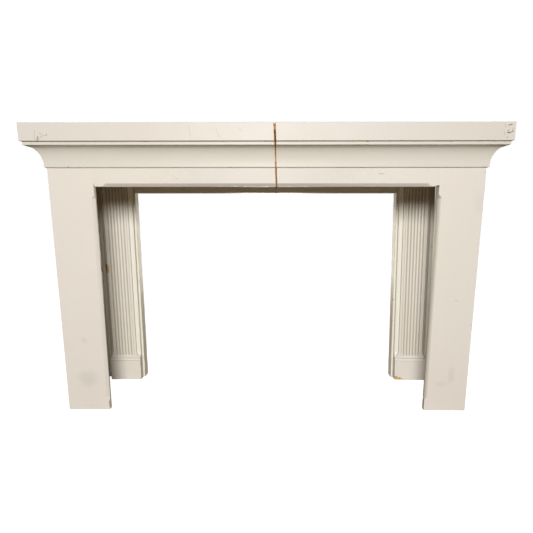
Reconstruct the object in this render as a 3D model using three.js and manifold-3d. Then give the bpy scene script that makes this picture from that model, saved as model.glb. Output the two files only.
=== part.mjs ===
// Fireplace mantelpiece of painted pine. A plain flush frame stands in front, a deep moulded
// shelf runs over it and returns to the wall, and a rear frame with two reeded posts stands
// back in the recess. The whole has been sawn into a left and a right half.
// Millimetres, +Z up. The front looks along -Y, the wall is at +Y, the origin is on the floor.
import * as THREE from 'three';
import { mergeVertices } from 'three/addons/utils/BufferGeometryUtils.js';
import Module from 'manifold-3d';

// Front frame: two legs and a frieze rail, flush with each other
const openingWidth = 1350;
const openingHeight = 933;
const legWidth = 175;
const frameThickness = 22;
const friezeFaceHeight = 73;

// Stopped chamfer round the opening of the front frame
const frameChamfer = 12;
const frameChamferRunOut = 15;
const cornerStop = 31;
const footStop = 40;
const arrisEase = 0.8;

// Carcass behind the front frame
const carcassDepth = 430;
const returnThickness = 25;

// Rear frame: two stiles, called slips, and a lintel
const rearThickness = 50;
const slipWidth = 187;

// The right slip and post lean in towards the opening from their feet, in degrees
const rightLean = 1.2;

// Reeded posts on the front of the slips
const postThickness = 38;
const postInset = 10;
const postSideGap = 24.5;
const plinthHeight = 102;
const plinthProjection = 4;
const plinthBevel = 10;
const postChamfer = 14.5;
const tongueFoot = 3;
const tongueHeight = 34;
const tongueSteps = 6;
const reedCount = 6;
const reedMarginInner = 14.5;
const reedMarginOuter = 19;
const reedDepth = 4.5;
const reedCrownSink = 0.3;
const reedGroove = 1.4;
const reedFootGap = 13;
const reedFacets = 4;

// Cornice: bed fillet, cavetto, top fillet and fascia, measured out from the frieze face
const bedFilletHeight = 6;
const bedFilletProjection = 7.5;
const cavettoRise = 67;
const cavettoFacets = 12;
const topFilletHeight = 10;
const topFilletSoffit = 4.1;
const fasciaSetback = 4.5;
const fasciaProjection = 63;
const fasciaHeight = 68;
const fasciaThickness = 22;
const shelfThickness = 22;

// Saw cut between the halves: right of the middle at the top, and leaning further right below
const seamOffset = 33;
const seamLean = 2.1;
const seamGapTop = 5;
const seamGapLow = 3;

// Clearance between neighbouring pieces
const fitGap = 0.3;

// Places worked out from the sizes above
const legInner = openingWidth / 2;
const frameOuter = legInner + legWidth;
const corniceBase = openingHeight + friezeFaceHeight;
const cavettoBase = corniceBase + bedFilletHeight;
const topFilletBase = cavettoBase + cavettoRise;
const fasciaBase = topFilletBase + topFilletHeight;
const totalHeight = fasciaBase + fasciaHeight;
const carcassHeight = totalHeight - shelfThickness;
const topFilletProjection = fasciaProjection - fasciaSetback;
const returnInner = frameOuter - returnThickness;
const slipInner = returnInner - slipWidth;
const rearFront = carcassDepth - rearThickness;
const postInner = slipInner + postInset;
const postOuter = returnInner - postSideGap;
const plinthFront = rearFront - postThickness;
const originDepth = (carcassDepth - fasciaProjection) / 2;

const sides = [
  { name: 'left', sign: -1 },
  { name: 'right', sign: 1 },
];

// The saw cut's middle, its width and the edge of each half at a height
const seamSlope = Math.tan(THREE.MathUtils.degToRad(seamLean));
const seamMiddle = (z) => seamOffset + seamSlope * (totalHeight - z);
const seamGap = (z) => (
  THREE.MathUtils.mapLinear(z, openingHeight, totalHeight, seamGapLow, seamGapTop)
);
const seamEdge = (sign, z) => seamMiddle(z) + (sign * seamGap(z)) / 2;

// A closed body swept through stations. A station has an outline of [u, v] points and a
// function that says how far along the sweep each of them lies, so an end can be mitred.
function sweep(stations, place) {
  const size = stations[0].outline.length;
  const points = stations.flatMap(({ outline, along }) => (
    outline.map(([u, v]) => place(u, v, along(u, v)))
  ));
  const faces = [];
  for (let station = 0; station + 1 < stations.length; station += 1) {
    for (let i = 0; i < size; i += 1) {
      const near = station * size + i;
      const nearNext = station * size + ((i + 1) % size);
      faces.push([near, nearNext, nearNext + size]);
      faces.push([near, nearNext + size, near + size]);
    }
  }
  const lastStart = (stations.length - 1) * size;
  const capOf = (station) => THREE.ShapeUtils.triangulateShape(
    stations[station].outline.map(([u, v]) => new THREE.Vector2(u, v)),
    [],
  );
  capOf(0).forEach(([a, b, c]) => faces.push(orientCap(stations[0].outline, a, b, c, true)));
  capOf(stations.length - 1).forEach(([a, b, c]) => {
    const cap = orientCap(stations[stations.length - 1].outline, a, b, c, false);
    faces.push(cap.map((index) => index + lastStart));
  });
  return facesOutward(points, faces);
}

// A cap triangle turned to run with its outline on the last station and against it on the first
function orientCap(outline, a, b, c, isFirst) {
  const turn = (p, q, r) => (q[0] - p[0]) * (r[1] - p[1]) - (q[1] - p[1]) * (r[0] - p[0]);
  const area = THREE.ShapeUtils.area(outline.map(([u, v]) => new THREE.Vector2(u, v)));
  const runsLikeOutline = turn(outline[a], outline[b], outline[c]) > 0 === area > 0;
  return runsLikeOutline !== isFirst ? [a, b, c] : [a, c, b];
}

// A geometry whose faces all point out, turned over where the sweep ran the other way
function facesOutward(points, faces) {
  const volume = faces.reduce((sum, [a, b, c]) => {
    const cross = new THREE.Vector3().crossVectors(points[b], points[c]);
    return sum + points[a].dot(cross) / 6;
  }, 0);
  const turned = volume > 0 ? faces : faces.map(([a, b, c]) => [a, c, b]);
  const geometry = new THREE.BufferGeometry();
  geometry.setFromPoints(points);
  geometry.setIndex(turned.flat());
  return geometry;
}

const at = (distance) => () => distance;

// How far a piece of the rear frame has leaned over at a height
const leanAt = (sign, z) => (sign > 0 ? -Math.tan(THREE.MathUtils.degToRad(rightLean)) * z : 0);
const leaning = (sign) => (x, y, z) => new THREE.Vector3(sign * x + leanAt(sign, z), y, z);

// A board between two corners
function board(xFrom, xTo, yFrom, yTo, zFrom, zTo) {
  const outline = [[xFrom, yFrom], [xTo, yFrom], [xTo, yTo], [xFrom, yTo]];
  const stations = [{ outline, along: at(zFrom) }, { outline, along: at(zTo) }];
  return sweep(stations, (x, y, z) => new THREE.Vector3(x, y, z));
}

// Leg of the front frame, its inner front arris chamfered between two stops
function leg(sign) {
  const section = (chamfer) => [
    [frameOuter, frameThickness],
    [frameOuter, 0],
    [legInner + chamfer, 0],
    [legInner, chamfer],
    [legInner, frameThickness],
  ];
  const topStop = openingHeight - cornerStop;
  const stations = [
    { outline: section(arrisEase), along: at(0) },
    { outline: section(arrisEase), along: at(footStop) },
    { outline: section(frameChamfer), along: at(footStop + frameChamferRunOut) },
    { outline: section(frameChamfer), along: at(topStop - frameChamferRunOut) },
    { outline: section(arrisEase), along: at(topStop) },
    { outline: section(arrisEase), along: at(carcassHeight - fitGap) },
  ];
  return sweep(stations, (x, y, z) => new THREE.Vector3(sign * x, y, z));
}

// Half of the frieze rail, from a leg to the saw cut, its lower front arris chamfered
function frieze(sign) {
  const section = (chamfer) => [
    [frameThickness, openingHeight],
    [frameThickness, carcassHeight - fitGap],
    [0, carcassHeight - fitGap],
    [0, openingHeight + chamfer],
    [chamfer, openingHeight],
  ];
  const legEnd = legInner - fitGap;
  const stop = legInner - cornerStop;
  const stations = [
    { outline: section(arrisEase), along: at(sign * legEnd) },
    { outline: section(arrisEase), along: at(sign * stop) },
    { outline: section(frameChamfer), along: at(sign * (stop - frameChamferRunOut)) },
    { outline: section(frameChamfer), along: (y, z) => seamEdge(sign, z) },
  ];
  return sweep(stations, (y, z, x) => new THREE.Vector3(x, y, z));
}

// Board of the side return, from the back of the leg to the wall
function sideReturn(sign) {
  return board(
    sign * returnInner,
    sign * frameOuter,
    frameThickness + fitGap,
    carcassDepth,
    0,
    carcassHeight - fitGap,
  );
}

// Stile of the rear frame
function slip(sign) {
  const outline = [
    [slipInner, rearFront],
    [returnInner - fitGap, rearFront],
    [returnInner - fitGap, carcassDepth],
    [slipInner, carcassDepth],
  ];
  const stations = [{ outline, along: at(0) }, { outline, along: at(carcassHeight - fitGap) }];
  return sweep(stations, leaning(sign));
}

// Half of the rear frame's lintel, from a slip to the saw cut
function rearLintel(sign) {
  const outline = [
    [rearFront, openingHeight],
    [carcassDepth, openingHeight],
    [carcassDepth, carcassHeight - fitGap],
    [rearFront, carcassHeight - fitGap],
  ];
  const stations = [
    { outline, along: (y, z) => sign * (slipInner - fitGap) + leanAt(sign, z) },
    { outline, along: (y, z) => seamEdge(sign, z) },
  ];
  return sweep(stations, (y, z, x) => new THREE.Vector3(x, y, z));
}

// Reeded post: a plinth with a bevelled top, chamfers that die into it in ogee tongues, and
// reeds that run up the sunk face
function post(sign, wasm) {
  const back = rearFront - fitGap;
  const section = (chamfer, front) => [
    [postInner, back],
    [postInner, front + chamfer],
    [postInner + chamfer, front],
    [postOuter - chamfer, front],
    [postOuter, front + chamfer],
    [postOuter, back],
  ];
  const shaftFront = plinthFront + plinthProjection;
  const bevelTop = plinthHeight + plinthBevel;
  const stations = [
    { outline: section(arrisEase, plinthFront), along: at(0) },
    { outline: section(arrisEase, plinthFront), along: at(plinthHeight) },
    { outline: section(arrisEase, shaftFront), along: at(bevelTop) },
  ];
  for (let step = 1; step <= tongueSteps; step += 1) {
    const share = step / tongueSteps;
    const chamfer = THREE.MathUtils.lerp(arrisEase, postChamfer, THREE.MathUtils.smoothstep(share, 0, 1));
    const height = bevelTop + tongueFoot + tongueHeight * share;
    stations.push({ outline: section(chamfer, shaftFront), along: at(height) });
  }
  stations.push({ outline: section(postChamfer, shaftFront), along: at(carcassHeight - fitGap) });
  const block = sweep(stations, leaning(sign));
  const cutter = reedCutter(sign, shaftFront, bevelTop + reedFootGap);
  return cut(block, cutter, wasm);
}

// The wood taken off round the reeds: open to the front, and hollowed round each reed behind
function reedCutter(sign, shaftFront, foot) {
  const clearance = 2;
  const fieldStart = postInner + postChamfer + reedMarginInner;
  const fieldEnd = postOuter - postChamfer - reedMarginOuter;
  const pitch = (fieldEnd - fieldStart) / reedCount;
  const halfReed = (pitch - reedGroove) / 2;
  const rise = reedDepth - reedCrownSink;
  const radius = (halfReed ** 2 + rise ** 2) / (2 * rise);
  const open = shaftFront - clearance;
  const outline = [[fieldEnd, open], [fieldStart, open]];
  for (let reed = 0; reed < reedCount; reed += 1) {
    const middle = fieldStart + (reed + 0.5) * pitch;
    for (let facet = 0; facet <= reedFacets; facet += 1) {
      const across = THREE.MathUtils.lerp(-halfReed, halfReed, facet / reedFacets);
      const fall = radius - Math.sqrt(radius ** 2 - across ** 2);
      outline.push([middle + across, shaftFront + reedCrownSink + fall]);
    }
  }
  const stations = [
    { outline, along: (x, y) => foot + (y - shaftFront) },
    { outline, along: at(carcassHeight + clearance) },
  ];
  return sweep(stations, leaning(sign));
}

// One body with another cut out of it
function cut(body, cutter, wasm) {
  const [kept, removed] = [body, cutter].map((geometry) => {
    const merged = mergeVertices(geometry);
    return new wasm.Manifold(new wasm.Mesh({
      numProp: 3,
      vertProperties: new Float32Array(merged.attributes.position.array),
      triVerts: new Uint32Array(merged.index.array),
    }));
  });
  const result = kept.subtract(removed).getMesh();
  const geometry = new THREE.BufferGeometry();
  geometry.setAttribute('position', new THREE.BufferAttribute(result.vertProperties, result.numProp));
  geometry.setIndex(new THREE.BufferAttribute(result.triVerts, 1));
  return geometry;
}

// Section of the cavetto moulding as [distance out, height]
function coveSection() {
  const outline = [
    [fitGap, fasciaBase - fitGap],
    [fitGap, corniceBase],
    [bedFilletProjection, corniceBase],
  ];
  const cavettoEnd = topFilletProjection - topFilletSoffit;
  for (let facet = 0; facet <= cavettoFacets; facet += 1) {
    const turn = (Math.PI / 2) * (facet / cavettoFacets);
    const out = cavettoEnd - (cavettoEnd - bedFilletProjection) * Math.cos(turn);
    outline.push([out, cavettoBase + cavettoRise * Math.sin(turn)]);
  }
  outline.push([topFilletProjection, topFilletBase]);
  outline.push([topFilletProjection, fasciaBase - fitGap]);
  return outline;
}

// Section of the fascia, the deep front edge of the shelf
function fasciaSection() {
  const back = fasciaProjection - fasciaThickness;
  return [
    [back, fasciaBase],
    [fasciaProjection, fasciaBase],
    [fasciaProjection, totalHeight],
    [back, totalHeight],
  ];
}

// A cornice section run along the front, mitred at the corner and sawn at the middle
function frontRun(outline, sign) {
  const stations = [
    { outline, along: (out) => sign * (frameOuter + out - fitGap / 2) },
    { outline, along: (out, z) => seamEdge(sign, z) },
  ];
  return sweep(stations, (out, z, x) => new THREE.Vector3(x, -out, z));
}

// The same section returned from the corner to the wall
function endRun(outline, sign) {
  const stations = [
    { outline, along: (out) => fitGap / 2 - out },
    { outline, along: at(carcassDepth) },
  ];
  return sweep(stations, (out, z, y) => new THREE.Vector3(sign * (frameOuter + out), y, z));
}

// Half of the shelf board, laid inside the fascia and on the carcass
function shelf(sign) {
  const inset = fasciaProjection - fasciaThickness - fitGap;
  const outline = [
    [-inset, carcassHeight],
    [carcassDepth, carcassHeight],
    [carcassDepth, totalHeight],
    [-inset, totalHeight],
  ];
  const stations = [
    { outline, along: at(sign * (frameOuter + inset)) },
    { outline, along: (y, z) => seamEdge(sign, z) },
  ];
  return sweep(stations, (y, z, x) => new THREE.Vector3(x, y, z));
}

const framePaint = { color: '#e6dfd4', roughness: 0.5, metalness: 0 };
const cornicePaint = { color: '#e8e1d5', roughness: 0.48, metalness: 0 };
const recessPaint = { color: '#ddd6c8', roughness: 0.58, metalness: 0 };

const group = new THREE.Group();
group.position.y = -originDepth;

function addPiece(name, geometry, paint) {
  const mesh = new THREE.Mesh(geometry, new THREE.MeshStandardMaterial(paint));
  mesh.name = name;
  group.add(mesh);
}

const wasm = await Module();
wasm.setup();

sides.forEach(({ name, sign }) => {
  addPiece(`leg_${name}`, leg(sign), framePaint);
  addPiece(`frieze_${name}`, frieze(sign), framePaint);
  addPiece(`return_${name}`, sideReturn(sign), framePaint);
  addPiece(`slip_${name}`, slip(sign), recessPaint);
  addPiece(`rear_lintel_${name}`, rearLintel(sign), recessPaint);
  addPiece(`post_${name}`, post(sign, wasm), recessPaint);
  addPiece(`cove_front_${name}`, frontRun(coveSection(), sign), cornicePaint);
  addPiece(`cove_end_${name}`, endRun(coveSection(), sign), cornicePaint);
  addPiece(`fascia_front_${name}`, frontRun(fasciaSection(), sign), cornicePaint);
  addPiece(`fascia_end_${name}`, endRun(fasciaSection(), sign), cornicePaint);
  addPiece(`shelf_${name}`, shelf(sign), cornicePaint);
});

export default group;
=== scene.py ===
import math
import random

import bmesh
import bpy
import numpy as np
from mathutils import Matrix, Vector, noise


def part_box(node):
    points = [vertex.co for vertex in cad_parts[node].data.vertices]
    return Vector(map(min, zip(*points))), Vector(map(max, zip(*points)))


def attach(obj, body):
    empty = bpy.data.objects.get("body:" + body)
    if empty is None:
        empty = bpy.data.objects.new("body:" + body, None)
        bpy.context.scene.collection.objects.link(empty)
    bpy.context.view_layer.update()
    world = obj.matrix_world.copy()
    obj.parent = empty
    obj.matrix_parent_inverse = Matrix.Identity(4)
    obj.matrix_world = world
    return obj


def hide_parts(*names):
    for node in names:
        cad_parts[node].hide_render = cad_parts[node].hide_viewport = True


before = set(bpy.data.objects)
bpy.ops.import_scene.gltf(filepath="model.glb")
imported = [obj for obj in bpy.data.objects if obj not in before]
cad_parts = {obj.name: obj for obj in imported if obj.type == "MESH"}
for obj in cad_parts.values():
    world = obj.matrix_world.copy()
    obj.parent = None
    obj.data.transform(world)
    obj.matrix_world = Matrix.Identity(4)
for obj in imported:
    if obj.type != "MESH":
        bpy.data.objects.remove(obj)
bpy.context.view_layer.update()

# ---- Front legs
# Flush boards of pine, painted warm white, that stand on the floor and run up behind the
# cornice. They are nailed to the side boards, and their inner front arris has a stopped
# chamfer. Years of knocks have taken small chips out of the arrises.

SIDES = (("left", -1), ("right", 1))
STATION_STEP = 0.006
ARC_STEPS = 3
CLOSE_STEP = 0.0025
LEAST_STEP = 0.0007
SMOOTH_UP_TO = math.radians(38)
ARRIS_FROM = math.radians(20)
NEAR_ARRIS = (0.0016, 0.0045)
FRAME_CHAMFER = 0.012
CHAMFER_RUN_OUT = 0.015
RUN_OUT_MIDDLE = 0.007
CORNER_STOP = 0.031
FOOT_STOP = 0.040
SHARP_ARRIS = 0.0008
# How dark the painted shade on the legs' inner side faces is, and how far behind the front it
# starts
LEG_PAINTED_SHADE = 0.75
LEG_PAINTED_SHADE_FROM = {"left": 0.0135, "right": 0.003}
BOARD_EASE = 0.0011
END_EASE = 0.0008
CHAMFER_EASE = 0.0005
ON_FACE = 0.0005
FACING_WALL, FACING_DOWN = 0.9, -0.7
LEAST_CHIP = 0.0025

leg_low, leg_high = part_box("leg_right")
opening_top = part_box("frieze_right")[0].z


def eased_outline(corners, radii, divisions):
    """A closed outline with rounded corners, its long sides divided, closer near the arrises."""
    rounded = []
    for index, radius in enumerate(radii):
        before, corner, after = (
            Vector(corners[(index + step) % len(corners)]) for step in (-1, 0, 1)
        )
        to_before = (before - corner).normalized()
        to_after = (after - corner).normalized()
        half_angle = to_before.angle(to_after) / 2
        if radius == 0:
            rounded.append([corner])
            continue
        reach = radius / math.tan(half_angle)
        centre = corner + (to_before + to_after).normalized() * radius / math.sin(half_angle)
        first = corner + to_before * reach - centre
        last = corner + to_after * reach - centre
        turn = first.angle(last)
        rounded.append([
            centre
            + first * math.sin((1 - step / ARC_STEPS) * turn) / math.sin(turn)
            + last * math.sin(step / ARC_STEPS * turn) / math.sin(turn)
            for step in range(ARC_STEPS + 1)
        ])
    outline = []
    for index, arc in enumerate(rounded):
        outline += arc
        start, end = arc[-1], rounded[(index + 1) % len(rounded)][0]
        side = end - start
        count = divisions[index]
        if count:
            length = side.length
            near = [gap / length for gap in NEAR_ARRIS]
            even = [near[1] + (1 - 2 * near[1]) * step / count for step in range(1, count)]
            shares = near + even + [1 - share for share in reversed(near)]
            outline += [start + side * share for share in shares]
    return [tuple(point) for point in outline]


def drawn_in(outline, amount):
    """The same outline moved in towards the wood, for the eased end of a board."""
    points = np.array(outline)
    along = np.roll(points, -1, axis=0) - np.roll(points, 1, axis=0)
    along /= np.linalg.norm(along, axis=1)[:, None]
    ahead = np.roll(points, -1, axis=0)
    area = np.sum(points[:, 0] * ahead[:, 1] - ahead[:, 0] * points[:, 1])
    inward = np.stack([-along[:, 1], along[:, 0]], axis=1) * np.sign(area)
    return [tuple(point) for point in points + inward * amount]


def skin(name, rings):
    """A closed mesh over rings of points, capped at both ends, with its faces pointing out."""
    count = len(rings[0])
    faces = []
    for station in range(len(rings) - 1):
        for index in range(count):
            here = station * count + index
            beside = station * count + (index + 1) % count
            faces.append((here, beside, beside + count, here + count))
    last = (len(rings) - 1) * count
    faces.append(tuple(range(count - 1, -1, -1)))
    faces.append(tuple(range(last, last + count)))
    mesh = bpy.data.meshes.new(name)
    mesh.from_pydata([point for ring in rings for point in ring], [], faces)
    return turned_out(mesh)


def standing_board(name, heights, outline_at, place):
    """An upright board with an eased foot, from its outline at each height."""
    rings = []
    for z in heights:
        outline = outline_at(z)
        if z == 0:
            outline = drawn_in(outline, END_EASE)
        rings.append([place(x, y, z) for x, y in outline])
    return skin(name, rings)


def turned_out(mesh):
    """The mesh with its normals pointing out, smooth but for its real edges."""
    work = bmesh.new()
    work.from_mesh(mesh)
    bmesh.ops.remove_doubles(work, verts=work.verts, dist=1e-6)
    bmesh.ops.recalc_face_normals(work, faces=work.faces)
    work.to_mesh(mesh)
    work.free()
    mesh.shade_smooth()
    mesh.set_sharp_from_angle(angle=SMOOTH_UP_TO)
    return mesh


def stations(start, end, close_to=()):
    """Places along a board, closer together about the given ones, such as a chamfer's stop."""
    steps = max(2, round(abs(end - start) / STATION_STEP))
    places = {round(start + (end - start) * step / steps, 5) for step in range(steps + 1)}
    for place in close_to:
        for step in range(-6, 7):
            extra = place + step * CLOSE_STEP
            if min(start, end) < extra < max(start, end):
                places.add(round(extra, 5))
    ordered = sorted(places, reverse=end < start)
    kept = [ordered[0]]
    for place in ordered[1:]:
        if abs(place - kept[-1]) > LEAST_STEP:
            kept.append(place)
    kept[-1] = ordered[-1]
    return kept


def knock(mesh, places, push=None):
    """Dents and chips: each place is (point, reach, depth), pushed in along the surface."""
    count = len(mesh.vertices)
    points = np.empty(count * 3)
    mesh.vertices.foreach_get("co", points)
    points = points.reshape(-1, 3)
    normals = np.array([normal.vector for normal in mesh.vertex_normals])
    bare = np.zeros(count)
    if "bare" in mesh.attributes:
        mesh.attributes["bare"].data.foreach_get("value", bare)
    for point, reach, depth in places:
        away = np.linalg.norm(points - np.array(point), axis=1)
        share = np.clip(1 - away / reach, 0, 1)
        points -= normals * (share * depth)[:, None]
        if push:
            bare = np.maximum(bare, share * push)
    mesh.vertices.foreach_set("co", points.ravel())
    store(mesh, "bare", bare)


def store(mesh, name, values):
    """Keeps one number for each point, for the paint to read."""
    kept = mesh.attributes.get(name) or mesh.attributes.new(name, "FLOAT", "POINT")
    kept.data.foreach_set("value", np.clip(values, 0, 1))
    mesh.update()


def wear(mesh, seed, chips, reach, depth):
    """Marks the arrises, where the paint is thin, and chips them here and there."""
    work = bmesh.new()
    work.from_mesh(mesh)
    arrises = [
        edge for edge in work.edges
        if edge.is_manifold and edge.calc_face_angle_signed(0) > ARRIS_FROM
    ]
    worn = np.zeros(len(work.verts))
    for edge in arrises:
        for end in edge.verts:
            worn[end.index] = 1
    pick = random.Random(seed)
    places = []
    for _ in range(chips):
        edge = pick.choice(arrises)
        size = pick.uniform(0.35, 1) ** 2
        middle = (edge.verts[0].co + edge.verts[1].co) / 2
        places.append((middle, reach * size + LEAST_CHIP, depth * size * pick.uniform(0.6, 1)))
    work.free()
    store(mesh, "worn", worn)
    knock(mesh, places, push=1.3)


def lay_bare(mesh, rule):
    """Raw wood wherever the rule says so of a point and its normal: saw cuts, feet and backs."""
    bare = np.zeros(len(mesh.vertices))
    mesh.attributes["bare"].data.foreach_get("value", bare)
    for index, vertex in enumerate(mesh.vertices):
        if rule(vertex.co, mesh.vertex_normals[index].vector):
            bare[index] = 1
    store(mesh, "bare", bare)


def backs(place, normal):
    """A rule for the raw wood against the wall."""
    return normal.y > FACING_WALL


def feet_and_backs(place, normal):
    """A rule for the raw wood under the feet and against the wall."""
    return normal.z < FACING_DOWN or backs(place, normal)


def new_piece(name, data, paint=None):
    """A piece at the origin, with its paint."""
    piece = bpy.data.objects.new(name, data)
    bpy.context.scene.collection.objects.link(piece)
    if paint:
        data.materials.append(paint)
    return piece


def stopped_chamfer(from_stop):
    """The chamfer's size at a distance past its stop: it runs out on a soft slope."""
    share = min(max(from_stop / CHAMFER_RUN_OUT, 0), 1)
    soft = share * share * (3 - 2 * share)
    return SHARP_ARRIS + (FRAME_CHAMFER - SHARP_ARRIS) * (0.45 * share + 0.55 * soft)


def add_node(tree, kind, wires=None, **settings):
    """A node with its settings, and its sockets joined to others or given a plain value."""
    node = tree.nodes.new(kind)
    for setting, value in settings.items():
        setattr(node, setting, value)
    for socket, value in (wires or {}).items():
        if isinstance(value, bpy.types.NodeSocket):
            tree.links.new(value, node.inputs[socket])
        else:
            node.inputs[socket].default_value = value
    return node


def tree_of(values):
    """The node tree that the sockets of a sum belong to."""
    return next(value for value in values if isinstance(value, bpy.types.NodeSocket)).id_data


def maths(operation, *values, clamp=False):
    """The result of one sum on sockets or numbers."""
    tree, kind, wires = tree_of(values), "ShaderNodeMath", dict(enumerate(values))
    return add_node(tree, kind, wires, operation=operation, use_clamp=clamp).outputs[0]


def vector_maths(operation, *values, output=0):
    """The result of one sum on places or directions."""
    tree, kind, wires = tree_of(values), "ShaderNodeVectorMath", dict(enumerate(values))
    if operation == "SCALE":
        wires = {0: values[0], "Scale": values[1]}
    return add_node(tree, kind, wires, operation=operation).outputs[output]


def noise_at(place, scale, detail=2.0, output="Fac", **settings):
    """Cloudy noise about a place."""
    wires = {"Vector": place, "Scale": scale, "Detail": detail, **settings}
    return add_node(place.id_data, "ShaderNodeTexNoise", wires).outputs[output]


def blend_colour(share, first, second):
    """One colour laid over another by a share from 0 to 1."""
    wires = {0: share, 6: first, 7: second}
    return add_node(share.id_data, "ShaderNodeMix", wires, data_type="RGBA").outputs[2]


def ramp_between(value, low, high, start=0.0, end=1.0):
    """A value eased from low to high into another range."""
    wires = {0: value, 1: low, 2: high, 3: start, 4: end}
    kind = "ShaderNodeMapRange"
    return add_node(value.id_data, kind, wires, interpolation_type="SMOOTHSTEP").outputs[0]


def new_group(name, kind, inputs, outputs):
    """An empty node group, with the sockets that bring values in and take results out."""
    tree = bpy.data.node_groups.new(name, kind)
    for label, socket_type, value in inputs:
        socket = tree.interface.new_socket(label, in_out="INPUT", socket_type=socket_type)
        if value is not None:
            socket.default_value = value
    for label, socket_type in outputs:
        tree.interface.new_socket(label, in_out="OUTPUT", socket_type=socket_type)
    given = tree.nodes.new("NodeGroupInput").outputs
    return tree, given, tree.nodes.new("NodeGroupOutput").inputs


def put_out(result, values):
    """Joins the values to the sockets that take a group's results out."""
    for label, value in values.items():
        value.id_data.links.new(value, result[label])


FLOAT, VECTOR, COLOUR = "NodeSocketFloat", "NodeSocketVector", "NodeSocketColor"
NUMBER, SHAPE, PAINT = "NodeSocketInt", "NodeSocketGeometry", "NodeSocketMaterial"

# The paint's brush marks: long thin streaks that lie along the board
brush_marks, given, result = new_group(
    "brush marks", "ShaderNodeTree",
    [("Place", VECTOR, None), ("Stretch", VECTOR, (300, 300, 8))],
    [("Height", FLOAT), ("Streaks", FLOAT)],
)
stretched = vector_maths("MULTIPLY", given["Place"], given["Stretch"])
bristles = noise_at(stretched, 1.0, 4.0, Roughness=0.55)
wide_strokes = noise_at(stretched, 0.16)
orange_peel = noise_at(given["Place"], 420.0)
stroke_height = maths("MULTIPLY_ADD", wide_strokes, 1.4, bristles)
total_height = maths("MULTIPLY_ADD", orange_peel, 0.35, stroke_height)
put_out(result, {"Height": total_height, "Streaks": wide_strokes})

# Old paint: faint yellowing in broad clouds and along the strokes, and specks of thin grime
old_paint, given, result = new_group(
    "old paint", "ShaderNodeTree",
    [
        ("Place", VECTOR, None), ("Streaks", FLOAT, 0.5), ("Paint", COLOUR, (0.8, 0.8, 0.8, 1)),
        ("Yellowed", COLOUR, (0.7, 0.65, 0.5, 1)), ("Grime", COLOUR, (0.3, 0.27, 0.2, 1)),
        ("Grime share", FLOAT, 0.1),
    ],
    [("Colour", COLOUR), ("Roughness", FLOAT)],
)
clouds = noise_at(given["Place"], 3.2, 3.0)
specks = noise_at(given["Place"], 55.0, 5.0, Roughness=0.7)
yellow_share = ramp_between(clouds, 0.42, 0.68, 0.0, 0.42)
tinted = blend_colour(yellow_share, given["Paint"], given["Yellowed"])
streak_share = ramp_between(given["Streaks"], 0.45, 0.75, 0.0, 0.10)
streaked = blend_colour(streak_share, tinted, given["Yellowed"])
speck_share = ramp_between(specks, 0.6, 0.78)
grime_share = maths("MULTIPLY", speck_share, given["Grime share"])
darkened = blend_colour(grime_share, streaked, given["Grime"])
dulled = maths("MULTIPLY_ADD", clouds, 0.16, 0.40)
roughness = maths("MULTIPLY_ADD", speck_share, 0.2, dulled)
put_out(result, {"Colour": darkened, "Roughness": roughness})

# Where the paint is gone: ragged patches in the chips, and a thin rubbed line on the arrises
lost_paint, given, result = new_group(
    "lost paint", "ShaderNodeTree",
    [("Place", VECTOR, None), ("Bare", FLOAT, 0.0), ("Worn", FLOAT, 0.0)],
    [("Raw", FLOAT), ("Rubbed", FLOAT), ("Height", FLOAT)],
)
ragged = noise_at(given["Place"], 260.0, 3.0)
patches = noise_at(given["Place"], 21.0, 4.0, Roughness=0.65)
edge_of_patch = maths("MULTIPLY_ADD", ragged, 0.7, given["Bare"])
raw_share = ramp_between(edge_of_patch, 0.96, 1.04)
rubbed_places = ramp_between(patches, 0.52, 0.66)
rubbed_line = ramp_between(given["Worn"], 0.35, 0.9)
rubbed_share = maths("MULTIPLY", rubbed_places, rubbed_line)
paint_step = maths("SUBTRACT", 1.0, raw_share)
put_out(result, {"Raw": raw_share, "Rubbed": rubbed_share, "Height": paint_step})

# Raw pine: straight growth lines along the board, and the brown of age
raw_pine, given, result = new_group(
    "raw pine", "ShaderNodeTree",
    [
        ("Place", VECTOR, None), ("Stretch", VECTOR, (60, 60, 1.5)),
        ("Early wood", COLOUR, (0.58, 0.37, 0.19, 1)), ("Late wood", COLOUR, (0.36, 0.20, 0.09, 1)),
    ],
    [("Colour", COLOUR)],
)
grain_place = vector_maths("MULTIPLY", given["Place"], given["Stretch"])
growth = noise_at(grain_place, 1.0, 3.0, Distortion=0.4)
late_share = ramp_between(growth, 0.44, 0.62)
pine_colour = blend_colour(late_share, given["Early wood"], given["Late wood"])
put_out(result, {"Colour": pine_colour})

# A fine line between two points, such as a crack or a scratch, wandering a little
hairline, given, result = new_group(
    "hairline", "ShaderNodeTree",
    [
        ("Place", VECTOR, None), ("From", VECTOR, (0, 0, 0)), ("To", VECTOR, (0, 0, 1)),
        ("Width", FLOAT, 0.001), ("Wander", FLOAT, 0.002),
    ],
    [("Mask", FLOAT)],
)
wobble = noise_at(given["Place"], 130.0, 3.0, output="Color")
centred = vector_maths("SUBTRACT", wobble, (0.5, 0.5, 0.5))
strayed = vector_maths("SCALE", centred, given["Wander"])
moved = vector_maths("ADD", given["Place"], strayed)
from_start = vector_maths("SUBTRACT", moved, given["From"])
whole_line = vector_maths("SUBTRACT", given["To"], given["From"])
reached = vector_maths("DOT_PRODUCT", from_start, whole_line, output="Value")
length_squared = vector_maths("DOT_PRODUCT", whole_line, whole_line, output="Value")
share_along = maths("DIVIDE", reached, length_squared, clamp=True)
nearest = vector_maths("SCALE", whole_line, share_along)
gap = vector_maths("DISTANCE", from_start, nearest, output="Value")
line_share = maths("DIVIDE", gap, given["Width"])
put_out(result, {"Mask": ramp_between(line_share, 1.0, 0.35)})
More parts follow.
